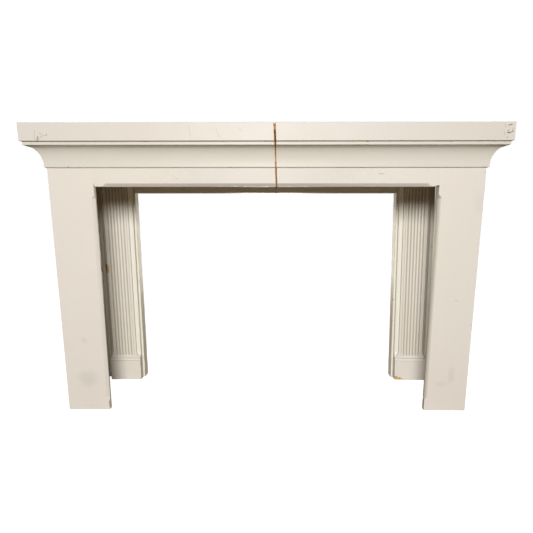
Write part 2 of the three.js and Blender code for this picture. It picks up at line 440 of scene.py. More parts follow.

# A soft patch round a point, such as a smudge, a stain or a broad painted shade, broken up at its
# rim
soft_patch, given, result = new_group(
    "soft_patch", "ShaderNodeTree",
    [("Place", VECTOR, None), ("Centre", VECTOR, (0, 0, 0)), ("Reach", VECTOR, (0.1, 0.1, 0.1))],
    [("Mask", FLOAT)],
)
from_centre = vector_maths("SUBTRACT", given["Place"], given["Centre"])
scaled_down = vector_maths("DIVIDE", from_centre, given["Reach"])
how_far = vector_maths("LENGTH", scaled_down, output="Value")
mottle = noise_at(given["Place"], 70.0, 4.0, Roughness=0.65)
broken = maths("MULTIPLY_ADD", mottle, 0.9, how_far)
put_out(result, {"Mask": ramp_between(broken, 1.45, 0.75)})


def use_group(group, place, wires):
    """One of the shared groups placed in a material, with that material's own values."""
    wires = {"Place": place, **wires}
    return add_node(place.id_data, "ShaderNodeGroup", wires, node_tree=group).outputs


def on_face(y, marks):
    """Hairlines on an upright front face, each given as x, z, x, z, width and strength."""
    return [
        ((x, y, z), (to_x, y, to_z), width, strength)
        for x, z, to_x, to_z, width, strength in marks
    ]


CRACK_BROWN = (0.13, 0.105, 0.075, 1)
SMUDGE_AND_SHADE_GREY = (0.40, 0.375, 0.34, 1)
THIN_GRIME = (0.33, 0.29, 0.22, 1)
SHADE_AND_GRIME_COLOUR = (0.24, 0.21, 0.145, 1)
PAINTED_HIGHLIGHT_CREAM = (0.745, 0.715, 0.625, 1)
RUBBED_BROWN = (0.45, 0.38, 0.28, 1)
RUBBED_SHARE = 0.14
BRUSH_ALONG, BRUSH_ACROSS = 7.0, 330.0
GRAIN_ALONG, GRAIN_ACROSS = 1.6, 75.0
LINE_WANDER = 2.2
PAINT_FILM = 0.0004


def painted_pine(name, brushed_along, paint, yellowed, grime_share, lines=(), stains_and_shade=()):
    """Painted pine, brushed along one axis, with raw wood where the paint is gone."""
    material = bpy.data.materials.new(name)
    material.use_nodes = True
    tree = material.node_tree
    shader = tree.nodes["Principled BSDF"]
    place = add_node(tree, "ShaderNodeTexCoord").outputs["Object"]
    bare, worn, darkened, highlight_share = [
        add_node(tree, "ShaderNodeAttribute", attribute_name=kept).outputs["Fac"]
        for kept in ("bare", "worn", "shade_and_grime", "painted_highlight")
    ]
    stretch = [BRUSH_ALONG if axis == brushed_along else BRUSH_ACROSS for axis in range(3)]
    grain = [GRAIN_ALONG if axis == brushed_along else GRAIN_ACROSS for axis in range(3)]
    brushed = use_group(brush_marks, place, {"Stretch": stretch})
    aged = use_group(old_paint, place, {
        "Streaks": brushed["Streaks"], "Paint": (*paint, 1), "Yellowed": (*yellowed, 1),
        "Grime": THIN_GRIME, "Grime share": grime_share,
    })
    lost = use_group(lost_paint, place, {"Bare": bare, "Worn": worn})
    pine = use_group(raw_pine, place, {"Stretch": grain})
    # Darkened where the mesh says so: painted shade on the legs' inner side faces, and grime with
    # painted shade in the posts' grooves and quirks
    colour = blend_colour(darkened, aged["Colour"], SHADE_AND_GRIME_COLOUR)
    # Painted highlight: a lighter cream on the posts' inner chamfers
    colour = blend_colour(highlight_share, colour, PAINTED_HIGHLIGHT_CREAM)
    # Grey patches: smudges, and on the frieze a broad painted shade
    for centre, reach, strength in stains_and_shade:
        patch = use_group(soft_patch, place, {"Centre": centre, "Reach": reach})
        share = maths("MULTIPLY", patch["Mask"], strength)
        colour = blend_colour(share, colour, SMUDGE_AND_SHADE_GREY)
    for start, end, width, strength in lines:
        line = use_group(hairline, place, {
            "From": start, "To": end, "Width": width, "Wander": width * LINE_WANDER,
        })
        share = maths("MULTIPLY", line["Mask"], strength)
        colour = blend_colour(share, colour, CRACK_BROWN)
    rubbed = maths("MULTIPLY", lost["Rubbed"], RUBBED_SHARE)
    colour = blend_colour(rubbed, colour, RUBBED_BROWN)
    colour = blend_colour(lost["Raw"], colour, pine["Colour"])
    rough = maths("MULTIPLY_ADD", lost["Raw"], 0.3, aged["Roughness"])
    strokes = add_node(tree, "ShaderNodeBump", {
        "Height": brushed["Height"], "Strength": 0.25, "Distance": PAINT_FILM,
    })
    film = add_node(tree, "ShaderNodeBump", {
        "Height": lost["Height"], "Strength": 0.7, "Distance": PAINT_FILM,
        "Normal": strokes.outputs["Normal"],
    })
    tree.links.new(colour, shader.inputs["Base Color"])
    tree.links.new(rough, shader.inputs["Roughness"])
    tree.links.new(film.outputs["Normal"], shader.inputs["Normal"])
    shader.inputs["Specular IOR Level"].default_value = 0.3
    return material


leg_paint = painted_pine(
    "leg_paint", brushed_along=2, paint=(0.626, 0.582, 0.529), yellowed=(0.602, 0.548, 0.479),
    lines=on_face(leg_low.y, [
        (-0.6735, 0.0740, -0.6725, 0.0690, 0.0024, 0.85),
        (-0.6725, 0.0500, -0.6765, 0.0380, 0.0020, 0.65),
        (-0.6775, 0.0340, -0.6760, 0.0130, 0.0022, 0.70),
        (-0.6765, 0.8880, -0.6830, 0.8800, 0.0016, 0.70),
        (0.6765, 0.8990, 0.6840, 0.8900, 0.0020, 0.75),
    ]),
    stains_and_shade=[
        ((-0.7595, leg_low.y, 0.140), (0.060, 0.03, 0.050), 0.27),
        ((-0.761, leg_low.y, 0.308), (0.018, 0.02, 0.018), 0.22),
        ((0.780, leg_low.y, 0.160), (0.020, 0.02, 0.055), 0.20),
        ((0.740, leg_low.y, 0.120), (0.035, 0.02, 0.020), 0.16),
        ((0.839, leg_low.y, 0.871), (0.034, 0.02, 0.060), 0.12),
        ((0.775, leg_low.y, 0.480), (0.005, 0.02, 0.004), 0.80),
    ],
    grime_share=0.05,
)


corner_stop = opening_top - CORNER_STOP


def leg_outline(height):
    """The leg's outline, with its chamfer between the stops."""
    chamfer = stopped_chamfer(min(height - FOOT_STOP, corner_stop - height))
    corners = [
        (leg_high.x, leg_high.y), (leg_high.x, leg_low.y), (leg_low.x + chamfer, leg_low.y),
        (leg_low.x, leg_low.y + chamfer), (leg_low.x, leg_high.y),
    ]
    radii = [END_EASE, BOARD_EASE, CHAMFER_EASE, CHAMFER_EASE, END_EASE]
    return eased_outline(corners, radii, divisions=[2, 6, 0, 2, 6])


for side, sign in SIDES:
    stops = (FOOT_STOP + RUN_OUT_MIDDLE, corner_stop - RUN_OUT_MIDDLE)
    heights = stations(0, leg_high.z, close_to=stops)
    heights = [0, END_EASE] + heights[1:]
    mesh = standing_board(
        f"leg_{side}_board", heights, leg_outline, lambda x, y, z: (sign * x, y, z),
    )
    # Painted shade on the rear part of each leg's inner side face, over more of the right face than
    # the left
    inner_face = leg_low.y + LEG_PAINTED_SHADE_FROM[side]
    store(mesh, "shade_and_grime", [
        LEG_PAINTED_SHADE if abs(abs(place.x) - leg_low.x) < ON_FACE and place.y > inner_face else 0
        for place in (vertex.co for vertex in mesh.vertices)
    ])
    wear(mesh, seed=11 + sign, chips=14, reach=0.008, depth=0.0014)
    if sign < 0:
        knock(mesh, [
            ((-0.675, leg_low.y, height), reach, depth)
            for height, reach, depth in (
                (0.073, 0.008, 0.0022), (0.046, 0.007, 0.0020),
                (0.030, 0.006, 0.0020), (0.012, 0.008, 0.0024),
            )
        ], push=0.8)
    lay_bare(mesh, feet_and_backs)
    leg = new_piece(f"painted_leg_{side}", mesh, leg_paint)
    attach(leg, "root")
    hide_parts(f"leg_{side}")

# ---- Frieze rail
# The board over the opening, flush with the legs and butted between them, chamfered below in
# line with theirs. The whole surround was sawn in two here, a little right of the middle, and
# the cut shows raw brown pine, open in front and closing behind.

SAW_LEAN = math.radians(2.1)
SAW_X_AT_TOP = 0.033
SAW_HALF_GAP_TOP = 0.0025
SAW_HALF_GAP_LOW = 0.0015
SAW_TEAR = 0.0007
SAW_LEFT_OPEN = -0.0001
SHORT_OF_CUT = 0.02
TEAR_SCALE = 160
RAW_REACH = 0.0018
CUT_REACH = 0.003
FRIEZE_CLOSES_OVER = 0.035

top_of_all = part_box("shelf_right")[1].z
frieze_low, frieze_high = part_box("frieze_right")


def saw_edge(sign, height):
    """Where the wood ends at the saw cut, on either half, at a height."""
    drop = (top_of_all - height) / (top_of_all - opening_top)
    half_gap = SAW_HALF_GAP_TOP + (SAW_HALF_GAP_LOW - SAW_HALF_GAP_TOP) * drop
    return SAW_X_AT_TOP + math.tan(SAW_LEAN) * (top_of_all - height) + sign * half_gap


def torn(sign, y, z):
    """How far the saw tore the wood back at a point of the cut."""
    roughness = noise.noise(Vector((y * TEAR_SCALE, z * TEAR_SCALE, sign * 7.3)))
    return sign * SAW_TEAR * (0.5 + roughness)


def sawn_run(name, sign, start, outline_at, close_to=(), eased_start=True):
    """A level board from its outer end to the saw cut, its outline given as (y, z)."""
    runs = stations(start, sign * SHORT_OF_CUT, close_to)
    span = runs[-1] - start
    rings = []
    for index, run in enumerate(runs):
        outline = outline_at(run)
        if eased_start and index == 0:
            outline = drawn_in(outline, END_EASE)
        if eased_start and index == 1:
            run = start - sign * END_EASE
        share = (run - start) / span
        ring = []
        for y, z in outline:
            x = start + (saw_edge(sign, z) - start) * share
            if index == len(runs) - 1:
                x += torn(sign, y, z)
            ring.append((x, y, z))
        rings.append(ring)
    return skin(name, rings)


def close_behind(mesh, sign, front=-1.0, over=0.1):
    """The cut is torn open in front and closes behind the given front, over a short depth."""
    for vertex in mesh.vertices:
        edge = saw_edge(sign, vertex.co.z)
        if abs(vertex.co.x - edge) > CUT_REACH:
            continue
        opening = abs(saw_edge(1, vertex.co.z) - saw_edge(-1, vertex.co.z)) / 2 - SAW_LEFT_OPEN
        share = min(max((vertex.co.y - front) / over, 0), 1)
        vertex.co.x -= sign * opening * share
    mesh.update()


def at_the_cut(sign):
    """A rule for the raw wood of the saw cut and of the backs."""
    def rule(place, normal):
        return abs(place.x - saw_edge(sign, place.z)) < RAW_REACH or backs(place, normal)
    return rule


frieze_paint = painted_pine(
    "frieze_paint", brushed_along=0, paint=(0.618, 0.576, 0.523), yellowed=(0.594, 0.542, 0.474),
    # A broad painted shade across the middle of the frieze, darkest at its centre
    stains_and_shade=[((0.0, leg_low.y, 0.980), (0.55, 0.10, 0.30), 0.28)],
    lines=on_face(leg_low.y, [
        (0.4355, 0.981, 0.4548, 0.981, 0.0013, 0.75), (0.662, 0.9345, 0.674, 0.9345, 0.0034, 1.0),
        (-0.352, 0.964, -0.347, 0.962, 0.0012, 0.5),
    ]),
    grime_share=0.05,
)

for side, sign in SIDES:
    start = sign * leg_low.x
    stop = leg_low.x - CORNER_STOP

    def frieze_outline(run):
        chamfer = stopped_chamfer(stop - abs(run))
        corners = [
            (frieze_high.y, frieze_low.z), (frieze_high.y, frieze_high.z),
            (frieze_low.y, frieze_high.z), (frieze_low.y, frieze_low.z + chamfer),
            (frieze_low.y + chamfer, frieze_low.z),
        ]
        radii = [END_EASE, END_EASE, END_EASE, CHAMFER_EASE, CHAMFER_EASE]
        return eased_outline(corners, radii, divisions=[6, 2, 6, 0, 2])

    mesh = sawn_run(
        f"frieze_{side}_board", sign, start, frieze_outline,
        close_to=(sign * (stop - RUN_OUT_MIDDLE),), eased_start=False,
    )
    wear(mesh, seed=21 + sign, chips=18, reach=0.008, depth=0.0014)
    lay_bare(mesh, at_the_cut(sign))
    close_behind(mesh, sign, frieze_low.y, FRIEZE_CLOSES_OVER)
    frieze = new_piece(f"painted_frieze_{side}", mesh, frieze_paint)
    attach(frieze, "root")
    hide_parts(f"frieze_{side}")

# ---- Side returns
# Wide boards that run from the back of each leg to the wall and make the recess as deep as it
# is. Their faces are painted, and the edge against the wall is raw.

return_low, return_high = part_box("return_right")


def rectangle(low, high):
    """The four corners between a low and a high one, in order."""
    return [(low[0], low[1]), (high[0], low[1]), (high[0], high[1]), (low[0], high[1])]


return_paint = painted_pine(
    "return_paint", brushed_along=2, paint=(0.60, 0.555, 0.49), yellowed=(0.55, 0.49, 0.40),
    grime_share=0.08,
)

for side, sign in SIDES:
    outline = eased_outline(
        rectangle((return_low.x, return_low.y), (return_high.x, return_high.y)),
        [END_EASE, END_EASE, BOARD_EASE, BOARD_EASE],
        divisions=[2, 12, 2, 12],
    )
    heights = [0, END_EASE] + stations(0, return_high.z)[1:]
    mesh = standing_board(
        f"return_{side}_board", heights, lambda z: outline, lambda x, y, z: (sign * x, y, z),
    )
    wear(mesh, seed=31 + sign, chips=26, reach=0.010, depth=0.0018)
    lay_bare(mesh, feet_and_backs)
    board = new_piece(f"painted_return_{side}", mesh, return_paint)
    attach(board, "root")
    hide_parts(f"return_{side}")

# ---- Rear frame
# Two thick stiles, called slips, and a lintel between them stand at the back of the recess
# against the wall. The right slip has come a little out of plumb. The inner arrises are worn
# wavy, and the lintel is sawn through with the rest.

RIGHT_LEAN = math.radians(1.2)
WAVY_REACH = 0.006
WAVY_DEPTH = 0.0012
WORN_ARRIS = 0.0025

slip_low, slip_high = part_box("slip_left")
lintel_low, lintel_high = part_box("rear_lintel_left")
recess_paint = painted_pine(
    "recess_paint", brushed_along=2, paint=(0.600, 0.575, 0.500), yellowed=(0.57, 0.53, 0.43),
    grime_share=0.12,
)
lintel_paint = painted_pine(
    "lintel_paint", brushed_along=0, paint=(0.655, 0.615, 0.535), yellowed=(0.62, 0.565, 0.46),
    grime_share=0.12,
)


def leaned(sign, x, z):
    """The x of a point of the rear frame once its side has leaned over."""
    return x - (math.tan(RIGHT_LEAN) * z if sign > 0 else 0)


for side, sign in SIDES:
    inner, outer = -slip_high.x, -slip_low.x
    outline = eased_outline(
        rectangle((inner, slip_low.y), (outer, slip_high.y)),
        [WORN_ARRIS, END_EASE, BOARD_EASE, BOARD_EASE],
        divisions=[6, 3, 6, 3],
    )

    def wavy_place(x, y, z):
        near_inner = max(0, 1 - (x - inner) / WAVY_REACH)
        wave = 1 + noise.noise(Vector((z * 24, y * 9, sign * 3.1)))
        return leaned(sign, sign * (x + WAVY_DEPTH * wave * near_inner), z), y, z

    heights = [0, END_EASE] + stations(0, slip_high.z)[1:]
    mesh = standing_board(f"slip_{side}_board", heights, lambda z: outline, wavy_place)
    wear(mesh, seed=41 + sign, chips=26, reach=0.008, depth=0.0016)
    lay_bare(mesh, feet_and_backs)
    slip = new_piece(f"painted_slip_{side}", mesh, recess_paint)
    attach(slip, "root")
    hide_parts(f"slip_{side}")

    outline = eased_outline(
        rectangle((lintel_low.y, lintel_low.z), (lintel_high.y, lintel_high.z)),
        [BOARD_EASE] * 4,
        divisions=[3, 6, 3, 6],
    )
    start = sign * -lintel_low.x
    mesh = sawn_run(f"lintel_{side}_board", sign, start, lambda run: outline)
    for vertex in mesh.vertices:
        cut = saw_edge(sign, vertex.co.z)
        vertex.co.x += leaned(sign, 0, vertex.co.z) * (vertex.co.x - cut) / (start - cut)
    wear(mesh, seed=51 + sign, chips=20, reach=0.009, depth=0.0016)
    lay_bare(mesh, at_the_cut(sign))
    close_behind(mesh, sign)
    lintel = new_piece(f"painted_rear_lintel_{side}", mesh, lintel_paint)
    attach(lintel, "root")
    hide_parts(f"rear_lintel_{side}")

# ---- Reeded posts
# A flat post is planted on the front of each slip. Its plinth is in one piece with it and has
# a bevelled top between two quirks. The chamfers die into it in ogee tongues, the inner one given
# a painted highlight of lighter cream, and six reeds are worked in the face, ending square above
# the plinth. Grime and painted shade darken the grooves and the quirks.

PLINTH_HEIGHT = 0.102
PLINTH_PROJECTION = 0.004
PLINTH_BEVEL = 0.010
POST_CHAMFER = 0.0145
TONGUE_FOOT = 0.003
TONGUE_HEIGHT = 0.034
REED_COUNT = 6
REED_MARGIN_INNER = 0.0145
REED_MARGIN_OUTER = 0.019
REED_DEPTH = 0.0045
REED_CROWN_SINK = 0.0003
REED_GROOVE = 0.0014
REED_FOOT_GAP = 0.013
REED_STEPS = 8
QUIRK_DEPTH = 0.0016
QUIRK_HALF = 0.0013
QUIRK_WIDTH = 0.0030
QUIRK_SIDE = 0.0005
SIDE_QUIRK_DEPTH = 0.0026
BESIDE_CHAMFER = 0.0006
POST_EASE = 0.0004
ON_CHAMFER = 0.0004
FIELD_RIM = 0.0003
HAIR = 0.00001
FIELD_SLACK = 0.001
QUIRK_SHADE_AND_GRIME_DEPTH = 0.001
PLINTH_SHADE_AND_GRIME, REED_SHADE_AND_GRIME = 0.9, 0.6
SHADE_AND_GRIME_FROM_DEPTH = 0.0008
SHADE_AND_GRIME_FULL_AFTER = 0.0034
FACE_DEPTH = 0.0048
PLINTH_SHADE_AND_GRIME_REACH = 0.003

post_low, post_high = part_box("post_left")
post_inner, post_outer = -post_high.x, -post_low.x
plinth_front = post_low.y
shaft_front = plinth_front + PLINTH_PROJECTION
bevel_top = PLINTH_HEIGHT + PLINTH_BEVEL
field_start = post_inner + POST_CHAMFER + REED_MARGIN_INNER
field_end = post_outer - POST_CHAMFER - REED_MARGIN_OUTER
reed_pitch = (field_end - field_start) / REED_COUNT

reeding, given, result = new_group(
    "reeding", "GeometryNodeTree",
    [
        ("Block", SHAPE, None), ("Field start", FLOAT, 0.0),
        ("Pitch", FLOAT, 0.015), ("Reeds", NUMBER, 6), ("Depth", FLOAT, 0.0045),
        ("Crown sink", FLOAT, 0.0003), ("Groove", FLOAT, 0.0014), ("Foot", FLOAT, 0.12),
        ("Front", FLOAT, 0.0), ("Paint", PAINT, None),
    ],
    [("Post", SHAPE)],
)


def coated(geometry, paint):
    """The geometry made real and given its paint."""
    tree = geometry.id_data
    whole = add_node(tree, "GeometryNodeRealizeInstances", {"Geometry": geometry})
    wires = {"Geometry": whole.outputs[0], "Material": paint}
    return add_node(tree, "GeometryNodeSetMaterial", wires).outputs[0]


spot = add_node(reeding, "GeometryNodeInputPosition").outputs[0]
across, inward, upward = add_node(reeding, "ShaderNodeSeparateXYZ", {0: spot}).outputs
in_field = maths("SUBTRACT", maths("ABSOLUTE", across), given["Field start"])
reed_number = maths("DIVIDE", in_field, given["Pitch"])
reed_share = maths("FRACT", reed_number)
off_middle = maths("MULTIPLY", maths("SUBTRACT", reed_share, 0.5), given["Pitch"])
half_reed = maths("MULTIPLY", maths("SUBTRACT", given["Pitch"], given["Groove"]), 0.5)
rise = maths("SUBTRACT", given["Depth"], given["Crown sink"])
squares = maths("ADD", maths("POWER", half_reed, 2.0), maths("POWER", rise, 2.0))
reed_radius = maths("DIVIDE", squares, maths("MULTIPLY", rise, 2.0))
radius_squared = maths("POWER", reed_radius, 2.0)
left_over = maths("SUBTRACT", radius_squared, maths("MULTIPLY", off_middle, off_middle))
to_centre = maths("SQRT", maths("MAXIMUM", left_over, 0.0))
sunk = maths("ADD", maths("SUBTRACT", reed_radius, to_centre), given["Crown sink"])
full_depth = maths("MINIMUM", sunk, given["Depth"])
above_foot = maths("MAXIMUM", maths("SUBTRACT", upward, given["Foot"]), 0.0)
depth_here = maths("MINIMUM", full_depth, above_foot)
after_start = maths("GREATER_THAN", reed_number, -0.001)
before_end = maths("LESS_THAN", reed_number, maths("ADD", given["Reeds"], 0.001))
on_front = maths("COMPARE", inward, given["Front"], 0.0002)
in_panel = maths("MULTIPLY", maths("MULTIPLY", after_start, before_end), on_front)
push_in = add_node(reeding, "ShaderNodeCombineXYZ", {1: maths("MULTIPLY", depth_here, in_panel)})
carved = add_node(reeding, "GeometryNodeSetPosition", {
    "Geometry": given["Block"], "Offset": push_in.outputs[0],
})
put_out(result, {"Post": coated(carved.outputs[0], given["Paint"])})


def by_nodes(piece, tree, values):
    """Runs a geometry tree on a piece with the given inputs and keeps the result as its mesh."""
    modifier = piece.modifiers.new(tree.name, "NODES")
    modifier.node_group = tree
    for item in tree.interface.items_tree:
        if item.in_out == "INPUT" and item.name in values:
            modifier[item.identifier] = values[item.name]
    graph = bpy.context.evaluated_depsgraph_get()
    made = bpy.data.meshes.new_from_object(piece.evaluated_get(graph))
    piece.modifiers.remove(modifier)
    piece.data = made
    return turned_out(made)


def quirk_at(height, middle):
    """How deep a quirk is at a height, as a share of its full depth."""
    return max(0, 1 - abs(height - middle) / QUIRK_HALF)


def tongue(height):
    """The chamfer's size at a height: an ogee from a sharp arris to its full width."""
    share = min(max((height - bevel_top - TONGUE_FOOT) / TONGUE_HEIGHT, 0), 1)
    return SHARP_ARRIS + (POST_CHAMFER - SHARP_ARRIS) * share * share * (3 - 2 * share)


def post_outline(height):
    """The post's outline: a quirk beside each chamfer, and points for every reed's round."""
    chamfer = tongue(height)
    climb = min(max((height - PLINTH_HEIGHT) / PLINTH_BEVEL, 0), 1)
    level_quirk = max(quirk_at(height, PLINTH_HEIGHT), quirk_at(height, bevel_top)) * QUIRK_DEPTH
    front = plinth_front + PLINTH_PROJECTION * climb + level_quirk
    quirk = SIDE_QUIRK_DEPTH * min(max((height - bevel_top) / TONGUE_HEIGHT, 0), 1)
    back = post_high.y
    corners = [
        (post_inner, back), (post_inner, front + chamfer), (post_inner + chamfer, front),
        (post_outer - chamfer, front), (post_outer, front + chamfer), (post_outer, back),
    ]
    radii = [END_EASE, POST_EASE, POST_EASE, POST_EASE, POST_EASE, END_EASE]
    outline = eased_outline(corners, radii, divisions=[2, 0, 0, 0, 2, 4])
    near = post_inner + chamfer + BESIDE_CHAMFER
    far = post_outer - chamfer - BESIDE_CHAMFER
    quirk_steps = [0, QUIRK_SIDE, QUIRK_WIDTH - QUIRK_SIDE, QUIRK_WIDTH]
    columns = [near + step for step in quirk_steps] + [field_start - FIELD_RIM]
    half_groove = REED_GROOVE / 2
    for reed in range(REED_COUNT):
        first = field_start + reed * reed_pitch
        round_width = reed_pitch - REED_GROOVE
        columns.append(first + (HAIR if reed == 0 else 0))
        columns += [
            first + half_groove + round_width * step / REED_STEPS
            for step in range(REED_STEPS + 1)
        ]
    columns += [field_end - HAIR, field_end + FIELD_RIM]
    columns += [far - step for step in reversed(quirk_steps)]
    depths = {index: quirk for index in (1, 2, len(columns) - 3, len(columns) - 2)}
    before_face = max(
        index for index, (x, y) in enumerate(outline)
        if x < (post_inner + post_outer) / 2 and abs(y - front) < 1e-6
    )
    face = [(x, front + depths.get(index, 0)) for index, x in enumerate(columns)]
    return outline[:before_face + 1] + face + outline[before_face + 1:]


def groove_shade_and_grime(place):
    """Grime and painted shade in the grooves between the reeds and in the quirks, darker where
    deeper.
    """
    if not post_inner < abs(place.x) < post_outer:
        return 0
    if place.z > bevel_top + QUIRK_HALF:
        depth = place.y - shaft_front
        if on_chamfer(place) or depth > FACE_DEPTH:
            return 0
        in_field = field_start - FIELD_SLACK < abs(place.x) < field_end + FIELD_SLACK
        if not in_field:
            return depth / QUIRK_SHADE_AND_GRIME_DEPTH
        return REED_SHADE_AND_GRIME * min(max((depth - SHADE_AND_GRIME_FROM_DEPTH) / SHADE_AND_GRIME_FULL_AFTER, 0), 1)
    if on_chamfer(place):
        return 0
    near = max(quirk_at(place.z, PLINTH_HEIGHT), quirk_at(place.z, bevel_top))
    return PLINTH_SHADE_AND_GRIME * near if place.y < shaft_front + PLINTH_SHADE_AND_GRIME_REACH else 0


def on_chamfer(place):
    """One on the inner chamfer and side of the shaft, where a lighter cream is laid on as a painted
    highlight.
    """
    if place.z < bevel_top + TONGUE_FOOT:
        return 0
    return 1 if abs(place.x) - post_inner < tongue(place.z) + ON_CHAMFER else 0


post_paint = painted_pine(
    "post_paint", brushed_along=2, paint=(0.605, 0.568, 0.510), yellowed=(0.575, 0.530, 0.455),
    grime_share=0.12,
)

for side, sign in SIDES:
    reed_foot = bevel_top + REED_FOOT_GAP
    tongues = (bevel_top + TONGUE_FOOT + 0.010, bevel_top + 0.03)
    heights = stations(0, post_high.z, close_to=tongues)
    heights = {0, END_EASE, reed_foot, reed_foot + REED_DEPTH, *heights[1:]}
    for quirk in (PLINTH_HEIGHT, bevel_top):
        heights = {z for z in heights if abs(z - quirk) > QUIRK_HALF}
        heights |= {quirk - QUIRK_HALF, quirk, quirk + QUIRK_HALF}
    block = standing_board(
        f"post_{side}_block", sorted(heights), post_outline, lambda x, y, z: (sign * x, y, z),
    )
    post = new_piece(f"reeded_post_{side}", block)
    mesh = by_nodes(post, reeding, {
        "Field start": field_start, "Pitch": reed_pitch, "Reeds": REED_COUNT,
        "Depth": REED_DEPTH, "Crown sink": REED_CROWN_SINK, "Groove": REED_GROOVE,
        "Foot": reed_foot, "Front": shaft_front, "Paint": post_paint,
    })
    # Grime and painted shade in the grooves and quirks, darker the deeper they go
    store(mesh, "shade_and_grime", [groove_shade_and_grime(vertex.co) for vertex in mesh.vertices])
    # Painted highlight: a lighter cream on the inner chamfer and side of each shaft
    store(mesh, "painted_highlight", [on_chamfer(vertex.co) for vertex in mesh.vertices])
    for vertex in mesh.vertices:
        vertex.co.x = leaned(sign, vertex.co.x, vertex.co.z)
    wear(mesh, seed=61 + sign, chips=5, reach=0.005, depth=0.0010)
    if sign < 0:
        knock(mesh, [
            ((-0.786, shaft_front, 0.585), 0.013, 0.0010),
            ((-0.786, shaft_front, 0.572), 0.014, 0.0012),
            ((-0.786, shaft_front, 0.558), 0.013, 0.0010),
        ], push=2.4)
    else:
        knock(mesh, [
            ((0.640, plinth_front, 0.006), 0.022, 0.0024),
            ((0.656, plinth_front, 0.006), 0.021, 0.0026),
            ((0.672, plinth_front, 0.004), 0.016, 0.0020),
            ((0.686, plinth_front, 0.001), 0.010, 0.0012),
        ], push=2.3)
    lay_bare(mesh, feet_and_backs)
    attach(post, "root")
    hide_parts(f"post_{side}")

# ---- Cornice moulding
# A deep cavetto between two fillets runs along the front, is mitred at the corners and
# returns to the wall. It is stuck to the frieze under the shelf, and the saw went through it.

BED_FILLET_HEIGHT = 0.006
BED_FILLET_PROJECTION = 0.0075
CAVETTO_RISE = 0.067
TOP_FILLET_SOFFIT = 0.0041
CAVETTO_STEPS = 28
BED_QUIRK = 0.0018
BED_DROP = 0.0035
TOP_FILLET_SET_BACK = 0.0032
BED_QUIRK_BACK = 0.0012
MITRE_GAP = 0.00015
BED_EASE, TOP_EASE = 0.0009, 0.0007
COVE_CLOSES_OVER = 0.065

cove_low, cove_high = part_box("cove_front_right")
frame_outer = leg_high.x
frame_front = leg_low.y
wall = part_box("cove_end_right")[1].y

cornice_run, given, result = new_group(
    "cornice run", "GeometryNodeTree",
    [
        ("Profile", SHAPE, None), ("Stations", NUMBER, 100),
        ("Start", FLOAT, 0.0), ("Start mitre", FLOAT, 0.0), ("End", FLOAT, 1.0),
        ("End lean", FLOAT, 0.0), ("Along", VECTOR, (1, 0, 0)), ("Outward", VECTOR, (0, -1, 0)),
        ("Origin", VECTOR, (0, 0, 0)), ("Saw tear", FLOAT, 0.0),
        ("Paint", PAINT, None),
    ],
    [("Moulding", SHAPE)],
)


def kept_on(geometry, kind, name, value):
    """A value kept on the points of a curve, to be read after the sweep."""
    tree = geometry.id_data
    node = tree.nodes.new("GeometryNodeCaptureAttribute")
    node.capture_items.new(kind, name)
    tree.links.new(geometry, node.inputs["Geometry"])
    tree.links.new(value, node.inputs[name])
    return node.outputs["Geometry"], node.outputs[name]


profile_curve = add_node(cornice_run, "GeometryNodeMeshToCurve", {"Mesh": given["Profile"]})
point = add_node(cornice_run, "GeometryNodeInputPosition").outputs[0]
profile, section = kept_on(profile_curve.outputs[0], "VECTOR", "Section", point)
upright = add_node(cornice_run, "GeometryNodeCurvePrimitiveLine", {
    "Start": (0, 0, 0), "End": (0, 0, 1),
})
stepped = add_node(cornice_run, "GeometryNodeResampleCurve", {
    "Curve": upright.outputs[0], "Count": given["Stations"],
})
factor = add_node(cornice_run, "GeometryNodeSplineParameter").outputs["Factor"]
path, share = kept_on(stepped.outputs[0], "FLOAT", "Share", factor)
swept = add_node(cornice_run, "GeometryNodeCurveToMesh", {
    "Curve": path, "Profile Curve": profile, "Fill Caps": True,
})
out, height = list(add_node(cornice_run, "ShaderNodeSeparateXYZ", {0: section}).outputs)[:2]
start_cut = maths("MULTIPLY_ADD", out, given["Start mitre"], given["Start"])
end_cut = maths("MULTIPLY_ADD", height, given["End lean"], given["End"])
tear_noise = noise_at(section, TEAR_SCALE)
at_cut = maths("GREATER_THAN", share, 0.9999)
tear = maths("MULTIPLY", maths("MULTIPLY", tear_noise, given["Saw tear"]), at_cut)
way = maths("SUBTRACT", end_cut, start_cut)
along = maths("ADD", maths("MULTIPLY_ADD", way, share, start_cut), tear)
run_part = vector_maths("SCALE", given["Along"], along)
out_part = vector_maths("SCALE", given["Outward"], out)
up_part = add_node(cornice_run, "ShaderNodeCombineXYZ", {2: height}).outputs[0]
placed = vector_maths("ADD", vector_maths("ADD", run_part, out_part), up_part)
set_there = add_node(cornice_run, "GeometryNodeSetPosition", {
    "Geometry": swept.outputs[0], "Position": vector_maths("ADD", placed, given["Origin"]),
})
put_out(result, {"Moulding": coated(set_there.outputs[0], given["Paint"])})


def moulded(name, outline, values, paint):
    """A run of moulding made from its outline, a closed line of (out from the frieze, height)."""
    profile_mesh = bpy.data.meshes.new(f"{name}_profile")
    edges = [(index, (index + 1) % len(outline)) for index in range(len(outline))]
    profile_mesh.from_pydata([(out, height, 0) for out, height in outline], edges, [])
    piece = new_piece(name, profile_mesh)
    by_nodes(piece, cornice_run, {**values, "Paint": paint})
    return piece


def front_run(name, outline, sign, paint):
    """A run along the front, from the mitred corner to the saw cut."""
    return moulded(name, outline, {
        "Stations": round(frame_outer / STATION_STEP), "Start": sign * (frame_outer - MITRE_GAP),
        "Start mitre": float(sign), "End": saw_edge(sign, 0),
        "End lean": saw_edge(sign, 1) - saw_edge(sign, 0), "Along": (1, 0, 0),
        "Outward": (0, -1, 0), "Origin": (0, frame_front, 0), "Saw tear": sign * SAW_TEAR,
    }, paint)


